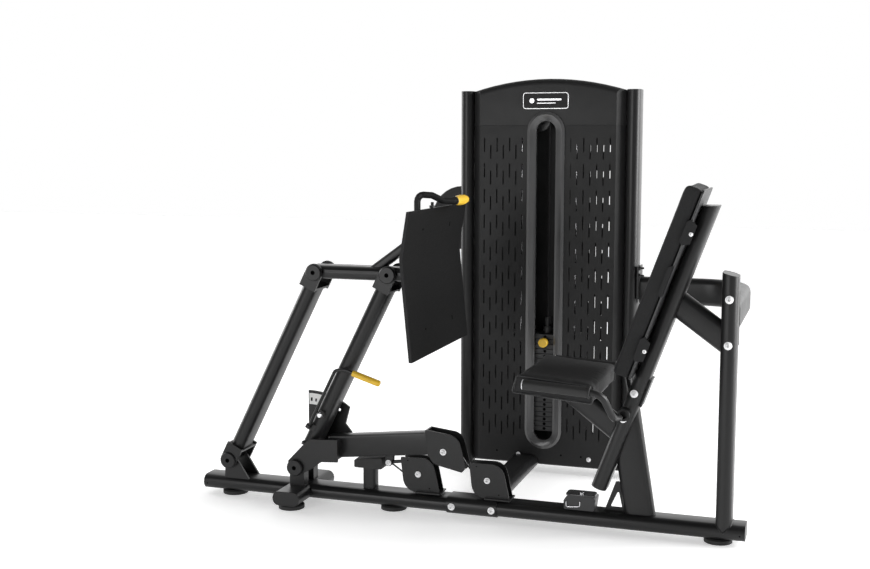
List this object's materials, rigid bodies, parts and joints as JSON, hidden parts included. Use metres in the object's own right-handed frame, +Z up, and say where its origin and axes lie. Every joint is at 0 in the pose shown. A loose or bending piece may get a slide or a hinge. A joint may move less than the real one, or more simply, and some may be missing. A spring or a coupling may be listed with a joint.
{
  "type": "leg press machine",
  "caption": "Seated leg press machine with a weight stack tower, a lever and four-bar foot plate carriage, and a seat with a backrest.",
  "frame": {"origin": "on the floor under the middle of the machine's bounding box", "axes": "+X along the base rail towards the backrest end, +Y towards the weight tower, +Z up"},
  "size_m": [1.9, 1.0542, 1.493],
  "materials": {
    "frame_paint": "satin black paint",
    "panel_paint": "matt black paint",
    "foot_plate_paint": "matt black textured paint",
    "gloss_plastic": "gloss black",
    "black_plastic": "matt black",
    "black_rubber": "matt black",
    "yellow_rubber": "satin yellow",
    "upholstery": "black imitation leather over foam",
    "bright_steel": "bright plated",
    "weight_paint": "matt black",
    "cable_jacket": "black jacket over steel wire"
  },
  "bodies": {
    "frame": {"rail_nose": "frame_paint", "base_rail": "frame_paint", "rail_sleeve": "frame_paint", "cross_foot": "frame_paint", "foot_pad_front": "black_rubber", "foot_pad_middle": "black_rubber", "foot_pad_rear": "black_rubber", "foot_pad_cross_near": "black_rubber", "foot_pad_cross_far": "black_rubber", "foot_pad_tower_left": "black_rubber", "foot_pad_tower_right": "black_rubber", "bumper_pad": "black_rubber", "base_guard_front": "frame_paint", "base_guard_rear": "frame_paint", "rail_clip": "black_plastic", "tower_base": "frame_paint", "tower_column_left": "frame_paint", "tower_column_right": "frame_paint", "tower_top_beam": "frame_paint", "front_shroud": "panel_paint", "head_cover": "panel_paint", "window_rim": "gloss_plastic", "rear_shroud": "panel_paint", "guide_rod_left": "bright_steel", "guide_rod_right": "bright_steel", "side_pulley_guard": "frame_paint", "resting_plates": "weight_paint", "stack_cable": "cable_jacket", "drive_cable": "cable_jacket", "lever_shaft": "frame_paint", "seat_frame": "frame_paint", "seat_bracket": "frame_paint", "backrest_tube": "frame_paint", "seat_cushion": "upholstery", "backrest_cushion": "upholstery", "seat_handles": "frame_paint", "handle_grip_near": "black_rubber", "handle_grip_far": "black_rubber", "rear_upright": "frame_paint", "crossover_tube": "frame_paint"},
    "lever": {"lever_arm": "frame_paint", "sector_plate": "frame_paint"},
    "lever_wheel": {"lever_wheel": "black_plastic"},
    "front_link": {"front_link": "frame_paint"},
    "release_lever": {"release_lever": "frame_paint", "release_grip": "yellow_rubber"},
    "pull_pin": {"pull_pin": "bright_steel"},
    "front_top_pin": {"front_upper_pin": "frame_paint"},
    "carriage": {"coupler_bar": "frame_paint", "foot_plate": "foot_plate_paint", "push_handle_grip": "yellow_rubber"},
    "rear_pin": {"rear_lower_pin": "frame_paint"},
    "rear_link": {"rear_link": "frame_paint"},
    "weights": {"lifted_plates": "weight_paint"},
    "selector_pin": {"selector_pin": "yellow_rubber"},
    "base_wheel_front": {"base_wheel_front": "black_plastic"},
    "base_wheel_rear": {"base_wheel_rear": "black_plastic"},
    "top_wheel": {"top_wheel": "black_plastic"}
  },
  "joints": [
    {"name": "press_swing", "type": "hinge", "parent": "frame", "child": "lever", "pos_m": [-0.576, -0.23015, 0.133], "axis": [0, -1, 0], "range_deg": [0, 35], "deforming": ["drive_cable"]},
    {"name": "start_adjust", "type": "hinge", "parent": "lever", "child": "front_link", "pos_m": [-0.576, -0.23015, 0.133], "axis": [0, -1, 0], "range_deg": [-4.5, 18]},
    {"name": "front_pin_turn", "type": "hinge", "parent": "front_link", "child": "front_top_pin", "pos_m": [-0.23439, -0.23015, 0.81816], "axis": [0, -1, 0], "range_deg": [-36, 1]},
    {"name": "carriage_level", "type": "hinge", "parent": "front_top_pin", "child": "carriage", "pos_m": [-0.23439, -0.23015, 0.81816], "axis": [0, -1, 0], "range_deg": [-19, 5.5]},
    {"name": "rear_pin_turn", "type": "hinge", "parent": "frame", "child": "rear_pin", "pos_m": [-0.844, -0.23015, 0.133], "axis": [0, -1, 0], "range_deg": [-1, 36]},
    {"name": "rear_link_turn", "type": "hinge", "parent": "rear_pin", "child": "rear_link", "pos_m": [-0.844, -0.23015, 0.133], "axis": [0, -1, 0], "range_deg": [-5.5, 19]},
    {"name": "release_swing", "type": "hinge", "parent": "front_link", "child": "release_lever", "pos_m": [-0.52697, -0.29215, 0.28064], "axis": [0.8949, 0, -0.4462], "range_deg": [0, 12], "stiffness_Nm_per_rad": 3, "springref_deg": -8.59},
    {"name": "pin_draw", "type": "slide", "parent": "front_link", "child": "pull_pin", "axis": [0, -1, 0], "range_m": [-0.0005, 0.0135]},
    {"name": "weight_lift", "type": "slide", "parent": "frame", "child": "weights", "axis": [0, 0, 1], "range_m": [-0.001, 0.38], "deforming": ["stack_cable"]},
    {"name": "selector_slide", "type": "slide", "parent": "weights", "child": "selector_pin", "axis": [0, -1, 0], "range_m": [0, 0.06]},
    {"name": "lever_wheel_turn", "type": "hinge", "parent": "lever", "child": "lever_wheel", "pos_m": [-0.047, -0.23015, 0.221], "axis": [0, -1, 0], "continuous": true},
    {"name": "base_wheel_front_turn", "type": "hinge", "parent": "frame", "child": "base_wheel_front", "pos_m": [-0.139, -0.23015, 0.134], "axis": [0, -1, 0], "continuous": true},
    {"name": "base_wheel_rear_turn", "type": "hinge", "parent": "frame", "child": "base_wheel_rear", "pos_m": [0.106, -0.23015, 0.134], "axis": [0, -1, 0], "continuous": true},
    {"name": "top_wheel_turn", "type": "hinge", "parent": "frame", "child": "top_wheel", "pos_m": [0.108, 0.43185, 1.343], "axis": [0, -1, 0], "continuous": true}
  ],
  "couplings": [
    {"joint": "front_pin_turn", "follows": "press_swing", "ratio": -1},
    {"joint": "carriage_level", "follows": "start_adjust", "ratio": -1},
    {"joint": "rear_pin_turn", "follows": "press_swing", "ratio": 1},
    {"joint": "rear_link_turn", "follows": "start_adjust", "ratio": 1},
    {"joint": "pin_draw", "follows": "release_swing", "m_per_rad": 0.062},
    {"joint": "weight_lift", "follows": "press_swing", "m_per_rad": 0.62},
    {"joint": "lever_wheel_turn", "follows": "press_swing", "ratio": 19},
    {"joint": "base_wheel_front_turn", "follows": "press_swing", "ratio": -7},
    {"joint": "base_wheel_rear_turn", "follows": "press_swing", "ratio": -31},
    {"joint": "top_wheel_turn", "follows": "press_swing", "ratio": 15.5}
  ]
}
